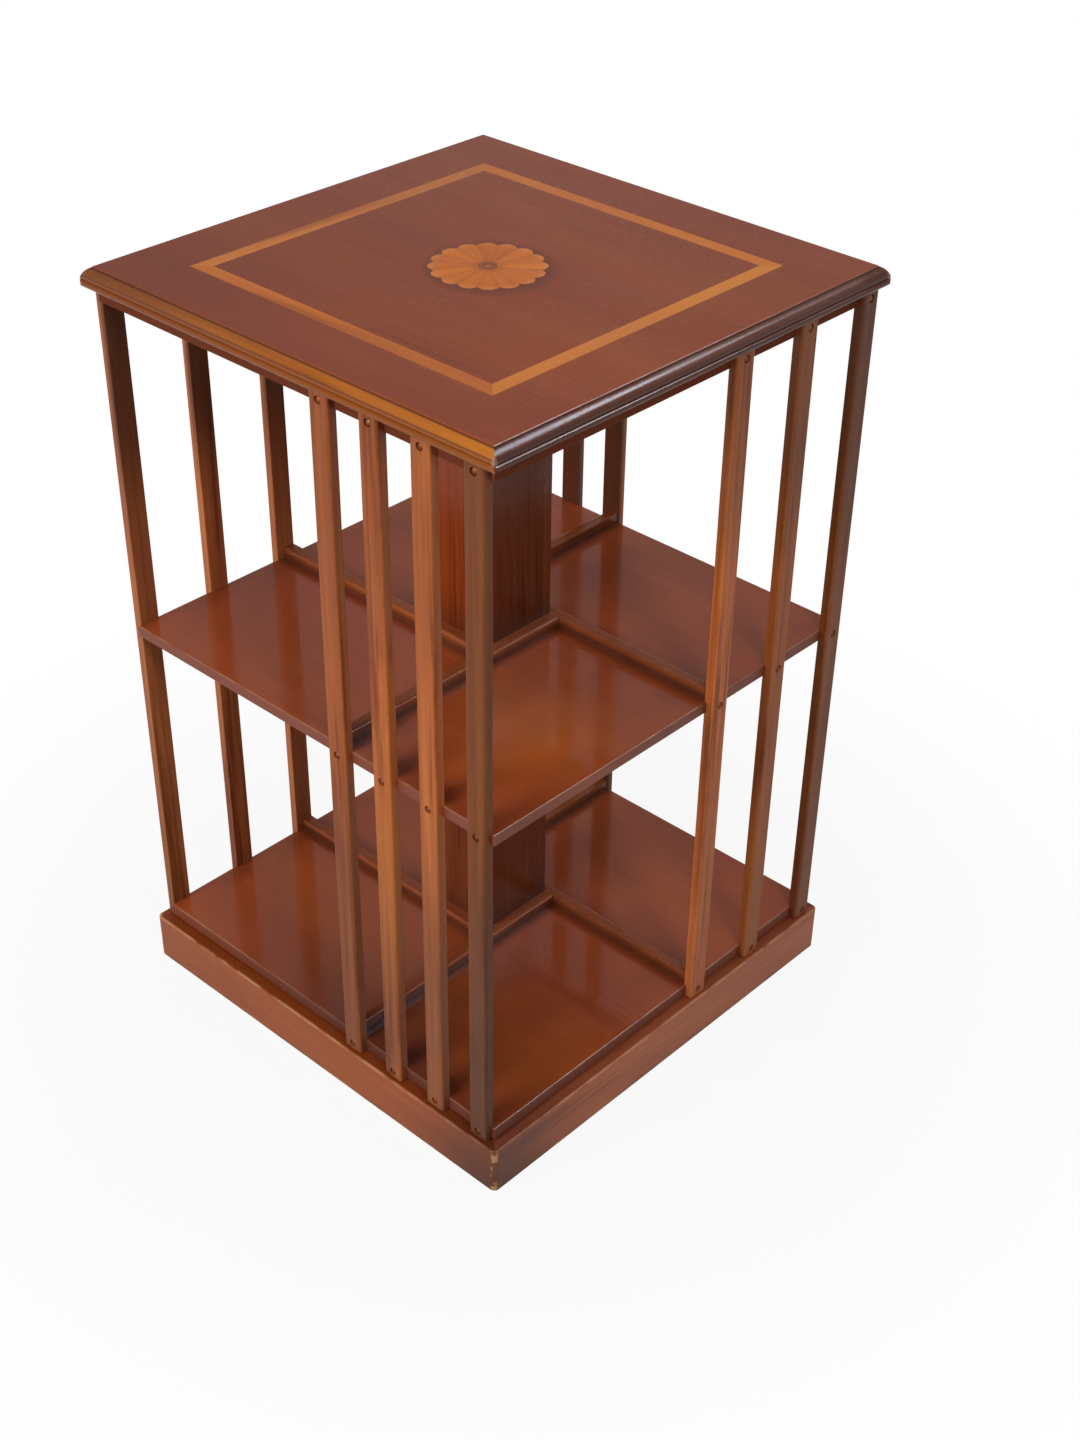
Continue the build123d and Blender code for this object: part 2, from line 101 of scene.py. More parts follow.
def speckle(tree, waves, detail=3.0):
    """Noise that is the same in every direction, in waves to the metre."""
    sockets = {"Vector": place_on_piece(tree), "Scale": waves, "Detail": detail}
    return add_node(tree, "ShaderNodeTexNoise", sockets).outputs[0]


def grain(tree, place, along, lengthwise, crosswise, seed, detail, roughness=0.5, distortion=0.0):
    """Noise drawn out along the grain, in waves to the metre. Each seed takes it from another spot."""
    scale = [crosswise] * 3
    scale["xyz".index(along)] = lengthwise
    shift = [seed * step for step in SEED_STEPS]
    sockets = {"Vector": place, "Location": shift, "Scale": scale}
    spot = add_node(tree, "ShaderNodeMapping", sockets).outputs[0]
    sockets = {"Vector": spot, "Scale": 1.0, "Detail": detail}
    sockets.update({"Roughness": roughness, "Distortion": distortion})
    return add_node(tree, "ShaderNodeTexNoise", sockets).outputs[0]


def depth_in(tree, low, high):
    """How deep a point lies in a square-cut piece, from its nearer face along each axis."""
    middle, reach = (low + high) / 2, (high - low) / 2
    off = reckon_places(tree, "SUBTRACT", place_on_piece(tree), middle)[0]
    off = reckon_places(tree, "ABSOLUTE", off)[0]
    return axes_of(tree, reckon_places(tree, "SUBTRACT", reach, off)[0])


def arris(tree, low, high, width):
    """1 on the edges of a square-cut piece, falling to 0 over a width."""
    x, y, z = depth_in(tree, low, high)
    lesser = reckon(tree, "MINIMUM", x, y)
    greater = reckon(tree, "MAXIMUM", x, y)
    second = reckon(tree, "MAXIMUM", lesser, reckon(tree, "MINIMUM", greater, z))
    return fade(tree, second, width, 0.0)


def mitre_line(tree, width, share):
    """Shows on the two diagonals of the square, where mitred pieces are glued."""
    x, y, _ = sides_of(tree)
    off = reckon(tree, "ABSOLUTE", reckon(tree, "SUBTRACT", x, y))
    return fade(tree, off, width, 0.0, high=share)


def shade(colour, *factors):
    """A colour with each channel made lighter or darker."""
    return tuple(channel * factor for channel, factor in zip(colour, factors)) + (1.0,)


def new_finish(name):
    """A new finish, with its node tree and its shader."""
    material = bpy.data.materials.new(name)
    material.use_nodes = True
    return material, material.node_tree, material.node_tree.nodes["Principled BSDF"]


def join_up(tree, colour, roughness, height, strength, depth):
    """Joins a colour, a dullness and a fine relief to the shader."""
    bump = add_node(tree, "ShaderNodeBump", {"Height": height, "Strength": strength, "Distance": depth})
    inputs = tree.nodes["Principled BSDF"].inputs
    tree.links.new(colour, inputs["Base Color"])
    tree.links.new(roughness, inputs["Roughness"])
    tree.links.new(bump.outputs[0], inputs["Normal"])


class Lacquered:
    """A lacquered hardwood, built up in coats: figure and pores, then rubbed edges, then the polish."""

    CLOUD = {"lengthwise": 2.6, "crosswise": 24.0, "detail": 3.0, "roughness": 0.55, "distortion": 0.8}
    STREAK = {"lengthwise": 5.0, "crosswise": 210.0, "detail": 3.0}
    PORE = {"lengthwise": 130.0, "crosswise": 2400.0, "detail": 1.0}
    HAZE = {"lengthwise": 9.0, "crosswise": 14.0, "detail": 4.0}
    DRIFT = {"lengthwise": 3.0, "crosswise": 7.0, "detail": 2.0}
    PALE, DARK = (1.30, 1.42, 1.55), (0.50, 0.40, 0.38)
    YELLOWED, YELLOWED_SHARE = (1.18, 1.35, 0.80), 0.6
    REDDENED, REDDENED_SHARE = (0.82, 0.78, 1.10), 0.55
    CLOUD_SHARE, STREAK_SHARE = 0.55, 0.45
    MIDDLE, FIGURE_SPREAD, DRIFT_SPREAD = 0.5, 0.16, 0.22
    BRIGHTER, DULLER = 0.04, 0.07
    PORE_DULLNESS, PORE_RELIEF, PORE_DEPTH = 0.12, 0.4, 0.0003
    STREAK_RELIEF = 0.5
    RUB_WAVES, RUB_DULLNESS = 45.0, 0.1

    def __init__(
        self, name, along, red, seed, figure=1.0, gloss=0.2, shine=0.25, pores=0.3, lie=place_on_piece
    ):
        self.material, tree, shader = new_finish(name)
        shader.inputs["Specular IOR Level"].default_value = shine
        self.tree = tree
        self.pale = shade(red, *self.PALE)
        self.dark = shade(red, *self.DARK)
        place = lie(tree)
        cloud = grain(tree, place, along, seed=seed, **self.CLOUD)
        streak = grain(tree, place, along, seed=seed + 0.5, **self.STREAK)
        speck = grain(tree, place, along, seed=seed + 1.0, **self.PORE)
        haze = grain(tree, place, along, seed=seed + 1.5, **self.HAZE)
        drift = grain(tree, place, along, seed=seed + 2.0, **self.DRIFT)
        pore = fade(tree, speck, start=0.58, end=0.70)
        clouded = reckon(tree, "MULTIPLY", cloud, self.CLOUD_SHARE)
        streaked = reckon(tree, "MULTIPLY", streak, self.STREAK_SHARE)
        mixed = reckon(tree, "ADD", clouded, streaked)
        middle, spread = self.MIDDLE, self.FIGURE_SPREAD / figure
        self.colour = self.dark
        self.coat((*red, 1.0), fade(tree, mixed, middle - spread, middle))
        self.coat(self.pale, fade(tree, mixed, middle, middle + spread))
        yellowed = fade(tree, drift, middle, middle + self.DRIFT_SPREAD, high=self.YELLOWED_SHARE)
        self.coat(shade(red, *self.YELLOWED), yellowed)
        reddened = fade(tree, drift, middle, middle - self.DRIFT_SPREAD, high=self.REDDENED_SHARE)
        self.coat(shade(red, *self.REDDENED), reddened)
        self.coat(self.dark, reckon(tree, "MULTIPLY", pore, pores))
        brightest, dullest = gloss - self.BRIGHTER, gloss + self.DULLER
        self.roughness = fade(tree, haze, start=0.3, end=0.7, low=brightest, high=dullest)
        self.dull(reckon(tree, "MULTIPLY", pore, self.PORE_DULLNESS))
        streaked = reckon(tree, "MULTIPLY", streak, self.STREAK_RELIEF)
        self.height = reckon(tree, "SUBTRACT", streaked, pore)
        self.relief = self.PORE_RELIEF * pores

    def coat(self, colour, amount, how="MIX"):
        """Another colour, where the amount says."""
        self.colour = lay_over(self.tree, self.colour, colour, amount, how)

    def dull(self, amount):
        """Less polish, where the amount says."""
        self.roughness = reckon(self.tree, "ADD", self.roughness, amount)

    def rub_edges(self, low, high, amount, width, colour=None):
        """Paler arrises, rubbed more in some places than in others."""
        patchy = fade(self.tree, speckle(self.tree, self.RUB_WAVES), start=0.3, end=0.62)
        rubbed = reckon(self.tree, "MULTIPLY", arris(self.tree, low, high, width), patchy)
        self.coat(colour or self.pale, reckon(self.tree, "MULTIPLY", rubbed, amount))
        self.dull(reckon(self.tree, "MULTIPLY", rubbed, self.RUB_DULLNESS))

    def polish(self):
        """The last coat: joins what has been built to the shader."""
        join_up(self.tree, self.colour, self.roughness, self.height, self.relief, self.PORE_DEPTH)
        return self.material


def finish(node, material):
    """Gives a piece its finish."""
    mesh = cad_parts[node].data
    mesh.materials.clear()
    mesh.materials.append(material)


for number, side in enumerate(SIDES):
    node = f"plinth_{side}"
    low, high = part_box(node)
    red = PLINTH_LIGHT_AND_SHADE.get(side, PLINTH_BROWN)
    wood = Lacquered(node, RUN_OF_SIDE[side], red, seed=number + 0.3, figure=0.8)
    tree = wood.tree
    wood.rub_edges(low, high, amount=0.8, width=0.004)
    wood.coat(GLUE_AND_SHADE_BROWN, mitre_line(tree, PLINTH_GLUE_LINE, share=0.6))
    x, y, z = sides_of(tree)
    # Painted shade: the ledge is painted darker where the carcass above shades it.
    wood.coat(wood.dark, fade(tree, z, LEDGE_HEIGHT, LEDGE_HEIGHT + LEDGE_EASING, high=0.6))
    wood.rub_edges(low, high, amount=0.65, width=0.003, colour=BARE_WOOD)
    # Darker round the front corner, near the floor.
    wood.coat(GLUE_AND_SHADE_BROWN, fade(tree, away_from(tree, DARK_FRONT_CORNER), DARK_CORNER_REACH, 0.0, high=0.8))
    corner = fade(tree, reckon(tree, "MINIMUM", x, y), PLINTH_CORNER - CORNER_FADE, PLINTH_CORNER)
    chips = fade(tree, speckle(tree, CHIP_WAVES), start=0.46, end=0.58, high=0.7)
    wood.coat(BARE_WOOD, reckon(tree, "MULTIPLY", corner, chips))
    # Darker towards the floor, along a ragged line.
    foot_line = reckon(tree, "ADD", z, reckon(tree, "MULTIPLY", speckle(tree, FOOT_WAVES), FOOT_RAGGED))
    wood.coat(GLUE_AND_SHADE_BROWN, fade(tree, foot_line, FOOT_RAGGED, FOOT_DARKEST, high=0.6))
    finish(node, wood.polish())

# Battens and base board: bare pine, sawn and planed, out of sight in the plinth. The battens are glued to
# the plinth boards, and the base board is screwed down on them.
PINE = (0.50, 0.30, 0.125)
LATE_WOOD = shade(PINE, 0.62, 0.48, 0.36)
EARLY_WOOD = shade(PINE, 1.25, 1.30, 1.40)
PINE_RINGS = {"lengthwise": 1.5, "crosswise": 55.0, "detail": 2.0, "distortion": 0.5}
PINE_HAIRS = {"lengthwise": 9.0, "crosswise": 600.0, "detail": 3.0}


def bare_pine(name, along, seed):
    """Bare pine: pale, with darker late wood in bands, and matt."""
    material, tree, _ = new_finish(name)
    place = place_on_piece(tree)
    ring = grain(tree, place, along, seed=seed, **PINE_RINGS)
    hair = grain(tree, place, along, seed=seed + 0.4, **PINE_HAIRS)
    colour = lay_over(tree, (*PINE, 1.0), LATE_WOOD, fade(tree, ring, start=0.5, end=0.66))
    colour = lay_over(tree, colour, EARLY_WOOD, fade(tree, hair, start=0.5, end=0.8, high=0.6))
    dullness = fade(tree, hair, start=0.3, end=0.7, low=0.62, high=0.8)
    join_up(tree, colour, dullness, hair, strength=0.3, depth=0.0004)
    return material


finish("plinth_battens", bare_pine("plinth_battens", "x", seed=0.2))
finish("base_board", bare_pine("base_board", "x", seed=1.7))

# Spindle flange, spindle, nut and their screws: a black iron casting screwed to the base board, and a
# turned steel bar that stands in it, held by its shoulder above and a nut below. The screws are of brass.
IRON_BLACK, IRON_RUST = (0.022, 0.022, 0.024), (2.2, 1.6, 1.2)
STEEL_GREY, STEEL_STAIN = (0.42, 0.42, 0.43), (0.60, 0.56, 0.50)
OLD_BRASS, OLD_TARNISH = (0.30, 0.165, 0.055), (0.40, 0.35, 0.30)


def metal(name, colour, stain, roughness, turned_waves, pitted):
    """A metal with its tool marks, stains and pits. Turned marks run round the upright axis."""
    material, tree, shader = new_finish(name)
    shader.inputs["Metallic"].default_value = 1.0
    cloud = speckle(tree, waves=60.0, detail=5.0)
    pits = reckon(tree, "MULTIPLY", speckle(tree, waves=900.0, detail=2.0), pitted)
    place = place_on_piece(tree)
    marks = grain(tree, place, "z", lengthwise=turned_waves, crosswise=8.0, seed=0.6, detail=2.0)
    stained = fade(tree, cloud, start=0.42, end=0.72)
    tinted = lay_over(tree, (*colour, 1.0), shade(colour, *stain), stained)
    dullness = fade(tree, cloud, start=0.3, end=0.75, low=roughness, high=roughness + 0.2)
    join_up(tree, tinted, dullness, reckon(tree, "ADD", pits, marks), strength=0.2, depth=0.0003)
    return material


cast_iron = metal("cast_iron", IRON_BLACK, IRON_RUST, roughness=0.55, turned_waves=20.0, pitted=2.0)
steel = metal("turned_steel", STEEL_GREY, STEEL_STAIN, roughness=0.24, turned_waves=1200.0, pitted=0.1)
old_brass = metal("darkened_brass", OLD_BRASS, OLD_TARNISH, roughness=0.3, turned_waves=40.0, pitted=0.3)
finish("spindle_flange", cast_iron)
finish("spindle", steel)
finish("spindle_nut", steel)
finish("base_board_screws", old_brass)
finish("flange_screws", old_brass)

# Bottom shelf: a square mahogany board that turns just above the plinth's ledge, polished on top and dull
# and dark at its sawn edges. Books have rubbed its arrises down to the pale wood. Painted shade darkens it
# against the rails and the column, and a painted shadow darkens it near the front corner.
SHELF_RED = (0.255, 0.054, 0.018)
SAWN_EDGE = (0.52, 0.50, 0.55)
EDGE_STAIN = 0.0005
PAINTED_SHADE_BROWN, SHADE_WIDTH = (0.050, 0.014, 0.008, 1.0), 0.012
PATCH_WAVES, PATCH_RAGGED = 14.0, 0.08
# Painted shadow: the bottom shelf is painted darker near the front corner, where the front slats shade it.
PAINTED_SHADOW_PATCH = ((0.06, -0.245, 0.067), PAINTED_SHADE_BROWN, 0.36, 0.75)


def shade_beside(tree, low, high, width, share):
    """Painted shade under and against a piece that stands on a board; it fades out over a width."""
    x, y, _ = depth_in(tree, low, high)
    return fade(tree, reckon(tree, "MINIMUM", x, y), -width, 0.0, high=share)


def shelf_finish(node, red, seed, standing=(), gloss=0.09, shine=0.5, painted_light_patch=None):
    """A board with its grain from left to right. A painted-light patch is a spot, its colour, its reach and
    its share.
    """
    low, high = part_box(node)
    wood = Lacquered(node, "x", red, seed, figure=0.4, gloss=gloss, shine=shine, pores=0.1)
    tree = wood.tree
    wood.rub_edges(low, high, amount=0.8, width=0.0018, colour=BARE_WOOD)
    x, y, _ = sides_of(tree)
    out = reckon(tree, "MAXIMUM", x, y)
    start, end = high.x - EDGE_STAIN, high.x - EDGE_STAIN / 2
    wood.coat(shade(red, *SAWN_EDGE), fade(tree, out, start, end, high=0.9))
    wood.dull(fade(tree, out, start, end, high=0.35))
    for piece in standing:
        # Painted shade against the rails and the column that stand on the board.
        wood.coat(PAINTED_SHADE_BROWN, shade_beside(tree, *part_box(piece), SHADE_WIDTH, share=0.5))
    # The painted-light patch: a painted shadow on the bottom shelf, a painted warm glow on the middle one.
    if painted_light_patch:
        spot, colour, reach, share = painted_light_patch
        ragged = reckon(tree, "MULTIPLY", speckle(tree, PATCH_WAVES), PATCH_RAGGED)
        off = reckon(tree, "ADD", away_from(tree, spot), ragged)
        wood.coat(colour, fade(tree, off, reach, 0.0, high=share))
    place = place_on_piece(tree)
    scratch = grain(tree, place, "y", lengthwise=5.0, crosswise=700.0, seed=seed + 3.0, detail=2.0)
    wood.coat(wood.pale, fade(tree, scratch, start=0.66, end=0.76, high=0.12))
    finish(node, wood.polish())


on_bottom = [f"lower_{piece}_{side}" for piece in ("rail", "column") for side in SIDES]
shelf_finish("bottom_shelf", SHELF_RED, seed=5.1, standing=on_bottom, painted_light_patch=PAINTED_SHADOW_PATCH)

# Collar and its screws: a turned brass bush, let into the bottom shelf and screwed down. It runs on the
# spindle and keeps the carcass upright as it turns.
BRASS_YELLOW, BRASS_STAIN = (0.60, 0.38, 0.12), (0.60, 0.50, 0.40)
brass = metal("turned_brass", BRASS_YELLOW, BRASS_STAIN, roughness=0.26, turned_waves=900.0, pitted=0.2)
finish("collar", brass)
finish("collar_screws", old_brass)

# Lower book rails: four mahogany strips with a rounded arris, glued to the shelf like a pinwheel round the
# column, so that books stop in line with it. Their sides are painted darker towards the shelf, as painted
# shade.
RAIL_RED = (0.190, 0.046, 0.015)
RAIL_SHADE_START, RAIL_SHADE_END = 0.002, 0.009


def rail_finish(storey, seed):
    """The four rails of one shelf."""
    for number, side in enumerate(SIDES):
        node = f"{storey}_rail_{side}"
        low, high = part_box(node)
        wood = Lacquered(node, RUN_OF_SIDE[side], RAIL_RED, seed + number, figure=0.9)
        wood.rub_edges(low, high, amount=0.6, width=0.0035)
        _, _, z = sides_of(wood.tree)
        # Painted shade: the rail's sides are painted darker below the top arris, down to the shelf.
        darker_below = fade(wood.tree, z, high.z - RAIL_SHADE_START, high.z - RAIL_SHADE_END, high=0.7)
        wood.coat(PAINTED_SHADE_BROWN, darker_below)
        finish(node, wood.polish())


rail_finish("lower", seed=7.4)

# Lower column: four upright mahogany boards, lapped at the corners and glued round the hollow that the
# spindle stands in. It stands on the bottom shelf and carries the middle one.
# Painted light and shade: the upper front board is painted a lit orange red, the others a shaded brown.
COLUMN_FRONT_LIGHT_AND_SHADE = {
    "upper_column_front": (0.190, 0.033, 0.006),
    "lower_column_front": (0.130, 0.030, 0.012),
}
SHADED_COLUMN_BROWN = (0.120, 0.028, 0.010)
FOOT_SHADE_HEIGHT = 0.06


def column_finish(storey, seed):
    """The four boards of one storey's column, with upright grain."""
    for number, side in enumerate(SIDES):
        node = f"{storey}_column_{side}"
        low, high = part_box(node)
        red = COLUMN_FRONT_LIGHT_AND_SHADE.get(node, SHADED_COLUMN_BROWN)
        wood = Lacquered(node, "z", red, seed + number, figure=0.95, gloss=0.14)
        wood.rub_edges(low, high, amount=0.4, width=0.002)
        _, _, z = sides_of(wood.tree)
        # Painted shade at the foot, where the column stands on the shelf.
        wood.coat(PAINTED_SHADE_BROWN, fade(wood.tree, z, low.z + FOOT_SHADE_HEIGHT, low.z, high=0.6))
        finish(node, wood.polish())


column_finish("lower", seed=11.8)

# Middle shelf: a square mahogany board like the one below, with the same painted shade against its rails
# and column, glued on top of the lower column. A patch near the front corner is painted orange, as a
# painted warm glow of light.
on_middle = [f"{piece}_{side}" for piece in ("middle_rail", "upper_column") for side in SIDES]
PAINTED_GLOW_PATCH = ((0.165, -0.125, 0.413), (0.46, 0.105, 0.014, 1.0), 0.17, 0.7)
shelf_finish("middle_shelf", SHELF_RED, seed=16.2, standing=on_middle, painted_light_patch=PAINTED_GLOW_PATCH)

# Pivot block, cup and screws: a pine block in the foot of the upper column, with the brass cup that
# carries the whole carcass on the spindle's end, and the brass screws that hold them.
finish("pivot_block", bare_pine("pivot_block", "z", seed=3.3))
finish("pivot_cup", brass)
finish("pivot_screws", old_brass)

# Middle book rails and upper column: mahogany, made as those below, one storey up. The rails are glued to
# the middle shelf, and the column's boards stand on it round the pivot block.
rail_finish("middle", seed=18.6)
column_finish("upper", seed=23.1)

# Under-top: the third carcass board, of mahogany, which takes the slats' heads and hides under the
# moulding. It is painted a dark brown, as painted shade under the moulding's overhang.
UNDER_TOP_SHADE_BROWN = (0.175, 0.040, 0.013)
shelf_finish("under_top", UNDER_TOP_SHADE_BROWN, seed=28.4, gloss=0.35, shine=0.1)

# Slats: straight-grained mahogany strips with eased arrises, let into shallow housings in the edges of the
# three boards and pinned. They are orange brown, each a little differently, and their tones also carry
# painted light and shade. The heads carry the painted shadow of the top, the back slats' inner faces are
# painted in shade, and the lower ends are darker towards the foot.
SLAT_ORANGE = {
    "front": (0.328, 0.090, 0.021),
    "right": (0.360, 0.103, 0.027),
    "back": (0.328, 0.094, 0.026),
    "left": (0.320, 0.098, 0.032),
}
# The tones differ from slat to slat as wood does, and also carry painted light and shade: the right-hand
# slats grow darker towards the back corner.
SLAT_TONES_AND_SHADE = {
    "front": (0.82, 0.94, 0.96, 0.38),
    "right": (1.28, 0.80, 0.46),
    "back": (0.84, 0.78, 0.90, 0.80),
    "left": (1.10, 1.28, 0.86),
}
FOOT_DARK_BROWN = (0.055, 0.028, 0.019, 1.0)
DARKER_FEET = {
    "slat_front_1": 0.42,
    "slat_front_2": 0.36,
    "slat_front_3": 0.55,
    "slat_front_4": 0.50,
    "slat_right_1": 0.10,
    "slat_back_1": 0.30,
}
LEAST_FOOT_DARKENING = 0.12
FOOT_DARK_START, FOOT_DARK_END = 0.44, 0.16
HEAD_SHADOW_BROWN = (0.075, 0.024, 0.012, 1.0)
HEAD_SHADOW_SHARE = {"front": 0.20, "right": 0.50, "back": 0.30, "left": 0.85}
HEAD_SHADOW_START, HEAD_SHADOW_FULL = 0.50, 0.63
INNER_SHADE_BROWN = (0.070, 0.021, 0.011, 1.0)
INNER_START, INNER_END = 0.242, 0.238
OUTER_SHADOW_SHARE = 0.25
SEED_STEP = 1.37
seed = 31.0
for side in SIDES:
    for number, tone_and_shade in enumerate(SLAT_TONES_AND_SHADE[side], 1):
        node = f"slat_{side}_{number}"
        seed += SEED_STEP
        red = shade(SLAT_ORANGE[side], tone_and_shade, tone_and_shade, tone_and_shade)[:3]
        wood = Lacquered(node, "z", red, seed, figure=1.3, gloss=0.26, shine=0.16)
        tree = wood.tree
        wood.rub_edges(*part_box(node), amount=0.35, width=0.0026)
        x, y, z = sides_of(tree)
        # Painted shadow of the top on the slats' heads; on the left-hand slats it falls mostly on the inner
        # faces.
        head_shadow = fade(tree, z, HEAD_SHADOW_START, HEAD_SHADOW_FULL, high=HEAD_SHADOW_SHARE[side])
        # Painted shade on the back slats' inner faces.
        if side == "back":
            wood.coat(INNER_SHADE_BROWN, fade(tree, y, INNER_START, INNER_END, high=0.9))
        if side == "left":
            inner = fade(tree, x, INNER_START, INNER_END, low=OUTER_SHADOW_SHARE)
            head_shadow = reckon(tree, "MULTIPLY", head_shadow, inner)
        wood.coat(HEAD_SHADOW_BROWN, head_shadow)
        # The lower ends are darker towards the foot, more on some slats than on others.
        darker_below = DARKER_FEET.get(node, LEAST_FOOT_DARKENING)
        wood.coat(FOOT_DARK_BROWN, fade(tree, z, FOOT_DARK_START, FOOT_DARK_END, high=darker_below))
        finish(node, wood.polish())

# Slat pins: small domed brass pins, three to a slat, driven through shallow recesses into the edges of the
# boards. They have gone brown under the lacquer.
PIN_BROWN, PIN_STAIN = (0.22, 0.080, 0.035), (0.60, 0.50, 0.40)
pins = metal("slat_pins", PIN_BROWN, PIN_STAIN, roughness=0.42, turned_waves=40.0, pitted=0.3)
finish("slat_pins", pins)

# Top: a flat mahogany panel, screwed up from the under-top with brass screws and polished all over. The
# polish has darkened in a halo round the rosette. Towards the left corner the top is painted darker, as
# painted shade, and its paler arrises are wear and a painted highlight.
TOP_RED = (0.232, 0.049, 0.017)
SCORCH = (0.100, 0.024, 0.013, 1.0)
HALO_START, HALO_END, STAIN_END = 0.0530, 0.0580, 0.0620
ROSETTE_MIDDLE = (0.0, 0.0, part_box("top_panel")[1].z)
STAIN_MIDDLE = (0.007, -0.002, 0.775)
LEFT_CORNER, CORNER_REACH = (-0.240, -0.240, 0.775), 0.30
wood = Lacquered("top_panel", "x", TOP_RED, seed=61.3, figure=0.45, gloss=0.16, shine=0.2, pores=0.1)
tree = wood.tree
# The paler arrises are rubbed wear and also a painted highlight along the field's edge.
wood.rub_edges(*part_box("top_panel"), amount=0.45, width=0.0014)
wood.coat(SCORCH, fade(tree, away_from(tree, ROSETTE_MIDDLE), HALO_END, HALO_START, high=0.35))
wood.coat(SCORCH, fade(tree, away_from(tree, STAIN_MIDDLE), STAIN_END, HALO_START, high=0.42))
# Painted shade: the top is painted darker towards the left corner.
wood.coat(wood.dark, fade(tree, away_from(tree, LEFT_CORNER), CORNER_REACH, 0.0, high=0.42))
finish("top_panel", wood.polish())
finish("top_screws", old_brass)

# Inlay band: four strips of satinwood, stained orange, mitred at the corners and glued flush into a groove
# in the top. The grain of each strip runs along it, and the left and right strips are painted yellower as
# a painted sheen.
BAND_ORANGE = (0.490, 0.132, 0.017)
SIDE_STRIP_SHEEN, SHEEN_SHARE = (1.08, 1.26, 1.7, 1.0), 0.9
BAND_MIDDLE, BAND_HALF = 0.1740, 0.0075
BAND_GLUE, INLAY_MITRE = 0.0006, 0.0004


def on_side_strips(tree):
    """1 on the strips at the left and right, 0 on those at the front and back."""
    x, y, _ = sides_of(tree)
    return reckon(tree, "GREATER_THAN", x, y)


def along_strips(tree):
    """Turns the figure of the side strips, so that the grain of each strip runs along it."""
    place = place_on_piece(tree)
    x, y, z = axes_of(tree, place)
    turned = add_node(tree, "ShaderNodeCombineXYZ", {0: y, 1: x, 2: z}).outputs[0]
    sockets = {0: on_side_strips(tree), 4: place, 5: turned}
    return add_node(tree, "ShaderNodeMix", sockets, data_type="VECTOR").outputs[1]


wood = Lacquered(
    "inlay_band", "x", BAND_ORANGE, seed=64.9, figure=0.5, gloss=0.16, shine=0.2, pores=0.15,
    lie=along_strips,
)
tree = wood.tree
# Painted sheen: the left and right strips are painted yellower.
wood.coat(SIDE_STRIP_SHEEN, reckon(tree, "MULTIPLY", on_side_strips(tree), SHEEN_SHARE), "MULTIPLY")
x, y, _ = sides_of(tree)
off_middle = reckon(tree, "SUBTRACT", reckon(tree, "MAXIMUM", x, y), BAND_MIDDLE)
off_middle = reckon(tree, "ABSOLUTE", off_middle)
wood.coat(GLUE_AND_SHADE_BROWN, fade(tree, off_middle, BAND_HALF - BAND_GLUE, BAND_HALF, high=0.55))
wood.coat(GLUE_AND_SHADE_BROWN, mitre_line(tree, INLAY_MITRE, share=0.4))
finish("inlay_band", wood.polish())

# Rosette: a fan of sixteen satinwood petals round a dark dot, glued flush into the middle of the top. The
# grain of each petal runs from root to tip, and each is shaded at its root and along one side.
FAN_ORANGE = (0.525, 0.130, 0.012)
PALE_RIM, RIM_WIDTH = (0.62, 0.21, 0.055, 1.0), 0.010
PETALS, PETAL_WIDTH = 16, 0.012
PETAL_ROOT, ROOT_SHADED, PETAL_TIP = 0.0085, 0.0187, 0.0525
SEAM, SEAM_START = 0.5, 0.46
DOT_RED = (0.21, 0.050, 0.018)
DOT_SPECK = 0.0012


def round_the_fan(tree):
    """Where a point lies in the fan: 0 to 1 across its petal, in turns of petals, and from the middle."""
    x, y, _ = axes_of(tree, place_on_piece(tree))
    turns = reckon(tree, "MULTIPLY", reckon(tree, "ARCTAN2", y, x), PETALS / math.tau)
    across = reckon(tree, "FRACT", reckon(tree, "ADD", turns, SEAM))
    return across, turns, away_from(tree, ROSETTE_MIDDLE)


def along_petals(tree):
    """Lays the grain of each petal from its root to its tip."""
    across, turns, out = round_the_fan(tree)
    petal = reckon(tree, "SUBTRACT", turns, across)
    sideways = reckon(tree, "MULTIPLY", across, PETAL_WIDTH)
    return add_node(tree, "ShaderNodeCombineXYZ", {0: out, 1: sideways, 2: petal}).outputs[0]


wood = Lacquered(
    "rosette_petals", "x", FAN_ORANGE, seed=66.2, figure=0.6, gloss=0.16, shine=0.2, pores=0.15,
    lie=along_petals,
)
tree = wood.tree
across, _, out = round_the_fan(tree)
wood.coat(wood.dark, fade(tree, across, start=0.55, end=1.0, high=0.18))
wood.coat(wood.dark, fade(tree, out, ROOT_SHADED, PETAL_ROOT, high=0.45))
wood.coat(PALE_RIM, fade(tree, out, PETAL_TIP - RIM_WIDTH, PETAL_TIP, high=0.6))
from_seam = reckon(tree, "ABSOLUTE", reckon(tree, "SUBTRACT", across, SEAM))
wood.coat(SCORCH, fade(tree, from_seam, SEAM_START, SEAM, high=0.3))
finish("rosette_petals", wood.polish())
wood = Lacquered("rosette_centre", "x", DOT_RED, seed=67.2, figure=0.8, gloss=0.16, shine=0.2, pores=0.15)
from_middle = away_from(wood.tree, ROSETTE_MIDDLE)
wood.coat(PALE_RIM, fade(wood.tree, from_middle, 2 * DOT_SPECK, DOT_SPECK, high=0.6))
finish("rosette_centre", wood.polish())

